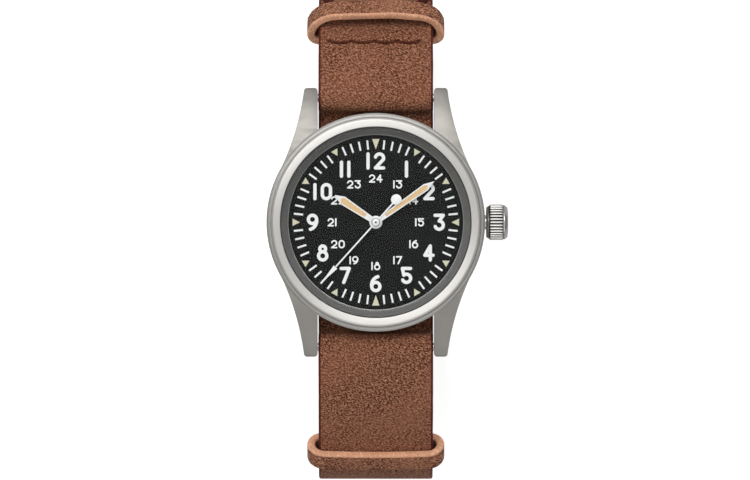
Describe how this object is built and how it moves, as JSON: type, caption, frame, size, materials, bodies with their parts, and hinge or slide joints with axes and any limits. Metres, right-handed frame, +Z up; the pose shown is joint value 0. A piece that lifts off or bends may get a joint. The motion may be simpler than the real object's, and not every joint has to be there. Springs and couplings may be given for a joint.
{
  "type": "wristwatch",
  "caption": "Hand-wound steel field wristwatch with a black dial and a leather loop strap with a buckle.",
  "frame": {"origin": "on the surface that the closed strap rests on, straight under the middle of the case", "axes": "+Z up out of the dial, +Y to 12 o'clock, +X to the crown at 3 o'clock"},
  "size_m": [0.0421, 0.0909, 0.0604],
  "materials": {
    "satin_steel": "satin brushed",
    "steel": "fine satin",
    "brass": "satin",
    "blued_steel": "blued",
    "crystal": "clear polished",
    "gasket": "matt",
    "dial_black": "matt black",
    "rehaut": "satin dark grey",
    "white_print": "matt white print",
    "old_lume": "matt cream lume",
    "tan_lume": "matt tan lume",
    "white_hand": "gloss white",
    "jewel": "polished",
    "leather": "oiled grain",
    "keeper_leather": "oiled grain",
    "thread": "waxed thread",
    "plastic": "matt"
  },
  "bodies": {
    "watch": {"main_strap": "leather", "under_strap": "leather", "keeper_top": "keeper_leather", "keeper_front": "keeper_leather", "stitching": "thread", "buckle_frame": "satin_steel", "buckle_bar": "steel", "case_middle": "satin_steel", "case_back": "satin_steel", "back_gasket": "gasket", "bezel": "satin_steel", "crystal": "crystal", "crystal_gasket": "gasket", "rehaut_ring": "rehaut", "crown_tube": "steel", "dial": "dial_black", "dial_print": "white_print", "hour_plots": "old_lume", "main_plate": "brass", "barrel_bridge": "steel", "train_bridge": "steel", "balance_cock": "steel", "pallet_bridge": "steel", "movement_ring": "plastic", "jewels": "jewel", "movement_screws": "blued_steel", "hairspring": "blued_steel", "spring_bars": "steel", "bar_springs": "steel"},
    "seconds": {"fourth_wheel": "brass", "second_hand": "white_hand", "second_hand_lume": "tan_lume"},
    "minutes": {"centre_wheel": "brass", "cannon_pinion": "steel", "minute_hand": "white_hand", "minute_hand_lume": "tan_lume"},
    "hours": {"hour_wheel": "brass", "hour_hand": "white_hand", "hour_hand_lume": "tan_lume"},
    "third": {"third_wheel": "brass"},
    "escape": {"escape_wheel": "steel"},
    "barrel_drum": {"barrel": "brass", "mainspring": "steel"},
    "ratchet": {"ratchet_wheel": "steel", "barrel_arbor": "steel"},
    "minute_wheel": {"minute_wheel": "brass"},
    "pallet_fork": {"pallet_fork": "steel"},
    "balance": {"balance_wheel": "brass"},
    "crown_wheel": {"crown_wheel": "steel"},
    "winding": {"winding_pinion": "steel", "clutch_wheel": "steel"},
    "crown": {"crown": "satin_steel", "crown_gasket": "gasket", "winding_stem": "steel"},
    "pin_top_right": {"bar_pin_top_right": "steel"},
    "pin_top_left": {"bar_pin_top_left": "steel"},
    "pin_front_right": {"bar_pin_front_right": "steel"},
    "pin_front_left": {"bar_pin_front_left": "steel"},
    "tongue": {"buckle_tongue": "satin_steel"},
    "free_keeper": {"keeper_free": "keeper_leather"}
  },
  "joints": [
    {"name": "second_hand_turn", "type": "hinge", "parent": "watch", "child": "seconds", "pos_m": [0, 0, 0.0539], "axis": [0, 0, -1], "continuous": true},
    {"name": "minute_hand_turn", "type": "hinge", "parent": "watch", "child": "minutes", "pos_m": [0, 0, 0.0539], "axis": [0, 0, -1], "continuous": true},
    {"name": "hour_hand_turn", "type": "hinge", "parent": "watch", "child": "hours", "pos_m": [0, 0, 0.0539], "axis": [0, 0, -1], "continuous": true},
    {"name": "third_wheel_turn", "type": "hinge", "parent": "watch", "child": "third", "pos_m": [-0.00411, -0.00183, 0.0539], "axis": [0, 0, -1], "continuous": true},
    {"name": "escape_wheel_turn", "type": "hinge", "parent": "watch", "child": "escape", "pos_m": [-0.00031, -0.0044, 0.0539], "axis": [0, 0, -1], "continuous": true},
    {"name": "barrel_turn", "type": "hinge", "parent": "watch", "child": "barrel_drum", "pos_m": [0.00367, 0.00505, 0.0539], "axis": [0, 0, -1], "continuous": true},
    {"name": "minute_wheel_turn", "type": "hinge", "parent": "watch", "child": "minute_wheel", "pos_m": [-0.00312, 0.0018, 0.0539], "axis": [0, 0, -1], "continuous": true},
    {"name": "balance_swing", "type": "hinge", "parent": "watch", "child": "balance", "pos_m": [0.00462, -0.00591, 0.0539], "axis": [0, 0, 1], "range_deg": [-135, 135], "stiffness_Nm_per_rad": 0.00000025, "deforming": ["hairspring"]},
    {"name": "pallet_fork_swing", "type": "hinge", "parent": "watch", "child": "pallet_fork", "pos_m": [0.00247, -0.00525, 0.0539], "axis": [0, 0, 1], "range_deg": [-4, 4]},
    {"name": "crown_turn", "type": "hinge", "parent": "watch", "child": "winding", "pos_m": [0, 0, 0.05415], "axis": [1, 0, 0], "continuous": true},
    {"name": "crown_pull", "type": "slide", "parent": "winding", "child": "crown", "axis": [1, 0, 0], "range_m": [0, 0.001]},
    {"name": "crown_wheel_turn", "type": "hinge", "parent": "watch", "child": "crown_wheel", "pos_m": [0.0076, 0, 0.0539], "axis": [0, 0, 1], "continuous": true},
    {"name": "ratchet_turn", "type": "hinge", "parent": "watch", "child": "ratchet", "pos_m": [0.00367, 0.00505, 0.0539], "axis": [0, 0, 1], "continuous": true},
    {"name": "pin_top_right_press", "type": "slide", "parent": "watch", "child": "pin_top_right", "axis": [-1, 0, 0], "range_m": [0, 0.001], "stiffness_N_per_m": 400, "springref_m": -0.001, "deforming": ["bar_springs"]},
    {"name": "pin_top_left_press", "type": "slide", "parent": "watch", "child": "pin_top_left", "axis": [1, 0, 0], "range_m": [0, 0.001], "stiffness_N_per_m": 400, "springref_m": -0.001, "deforming": ["bar_springs"]},
    {"name": "pin_front_right_press", "type": "slide", "parent": "watch", "child": "pin_front_right", "axis": [-1, 0, 0], "range_m": [0, 0.001], "stiffness_N_per_m": 400, "springref_m": -0.001, "deforming": ["bar_springs"]},
    {"name": "pin_front_left_press", "type": "slide", "parent": "watch", "child": "pin_front_left", "axis": [1, 0, 0], "range_m": [0, 0.001], "stiffness_N_per_m": 400, "springref_m": -0.001, "deforming": ["bar_springs"]},
    {"name": "tongue_swing", "type": "hinge", "parent": "watch", "child": "tongue", "pos_m": [0, 0.03515, 0.01805], "axis": [1, 0, 0], "range_deg": [0, 6]},
    {"name": "free_keeper_slide", "type": "hinge", "parent": "watch", "child": "free_keeper", "pos_m": [0, 0.02019, 0.03189], "axis": [1, 0, 0], "range_deg": [-11, 28]}
  ],
  "couplings": [
    {"joint": "minute_hand_turn", "follows": "second_hand_turn", "ratio": 0.016667},
    {"joint": "hour_hand_turn", "follows": "second_hand_turn", "ratio": 0.0013889},
    {"joint": "third_wheel_turn", "follows": "second_hand_turn", "ratio": -0.13333},
    {"joint": "escape_wheel_turn", "follows": "second_hand_turn", "ratio": -12},
    {"joint": "barrel_turn", "follows": "second_hand_turn", "ratio": -0.002381},
    {"joint": "minute_wheel_turn", "follows": "second_hand_turn", "ratio": -0.0055556},
    {"joint": "crown_wheel_turn", "follows": "crown_turn", "ratio": -0.58333},
    {"joint": "ratchet_turn", "follows": "crown_turn", "ratio": 0.35}
  ]
}
